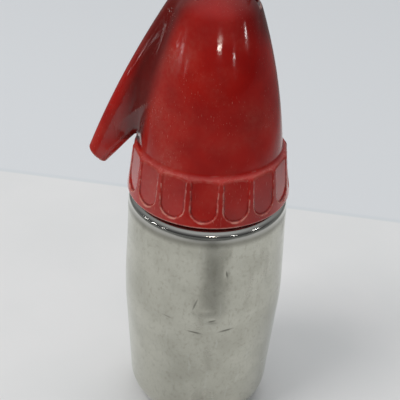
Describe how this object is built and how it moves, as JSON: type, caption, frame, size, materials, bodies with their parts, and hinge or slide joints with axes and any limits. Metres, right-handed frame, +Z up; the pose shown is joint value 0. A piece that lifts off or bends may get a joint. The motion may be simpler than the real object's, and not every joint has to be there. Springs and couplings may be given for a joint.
{
  "type": "soda siphon",
  "caption": "Soda siphon with a red bullet-shaped screw-on head, a fixed beak spout, a thumb lever on top and an aluminium vessel.",
  "frame": {"origin": "middle of the vessel's base, on the surface it stands on", "axes": "+Z up along the vessel's axis, -X towards the beak, +Y towards the gas inlet"},
  "size_m": [0.1178, 0.0972, 0.2883],
  "materials": {
    "spun_aluminium": "satin, dulled by use, bright shoulder",
    "red_moulding": "glossy, lightly scratched",
    "brass": "turned",
    "chrome": "polished",
    "steel": "drawn",
    "rubber": "matt",
    "nylon": "matt",
    "tube_plastic": "matt"
  },
  "bodies": {
    "vessel": {"vessel_shell": "spun_aluminium", "neck_ring": "brass"},
    "seal": {"neck_gasket": "rubber", "slip_washer": "steel"},
    "head": {"head_shell": "red_moulding", "skirt_thread_ring": "brass", "base_flange": "brass", "valve_body": "brass", "outlet_tube": "steel", "nozzle_tip": "chrome", "gland_bush": "nylon", "stem_seal": "rubber", "gland_nut": "chrome", "tube_nut": "brass", "dip_tube": "tube_plastic", "column_seal": "rubber", "valve_spring": "steel", "check_spring": "steel", "check_valve_body": "brass", "charge_tube": "steel", "charging_nipple": "chrome", "piercing_pin": "steel", "lever_pin": "steel"},
    "lever": {"lever": "chrome"},
    "stem": {"valve_stem": "steel", "stem_washer": "rubber"},
    "check": {"check_poppet": "rubber"},
    "cap": {"port_cap": "red_moulding"}
  },
  "joints": [
    {"name": "head_rise", "type": "slide", "parent": "vessel", "child": "seal", "axis": [0, 0, 1], "range_m": [0, 0.0091]},
    {"name": "head_turn", "type": "hinge", "parent": "seal", "child": "head", "pos_m": [0, 0, 0.175], "axis": [0, 0, 1], "range_deg": [0, 810]},
    {"name": "lever_press", "type": "hinge", "parent": "head", "child": "lever", "pos_m": [-0.011, 0, 0.27374], "axis": [0, 1, 0], "range_deg": [0, 12], "stiffness_Nm_per_rad": 1, "springref_deg": -11.46},
    {"name": "stem_travel", "type": "slide", "parent": "head", "child": "stem", "axis": [0, 0, -1], "range_m": [0, 0.0025], "deforming": ["valve_spring"]},
    {"name": "check_lift", "type": "slide", "parent": "head", "child": "check", "axis": [0, 0, -1], "range_m": [0, 0.002], "stiffness_N_per_m": 100, "springref_m": -0.002, "deforming": ["check_spring"]},
    {"name": "cap_pull", "type": "slide", "parent": "head", "child": "cap", "axis": [0, 1, 0], "range_m": [0, 0.008]}
  ],
  "couplings": [
    {"joint": "head_rise", "follows": "head_turn", "m_per_rad": 0.00063662},
    {"joint": "stem_travel", "follows": "lever_press", "m_per_rad": 0.0115}
  ]
}
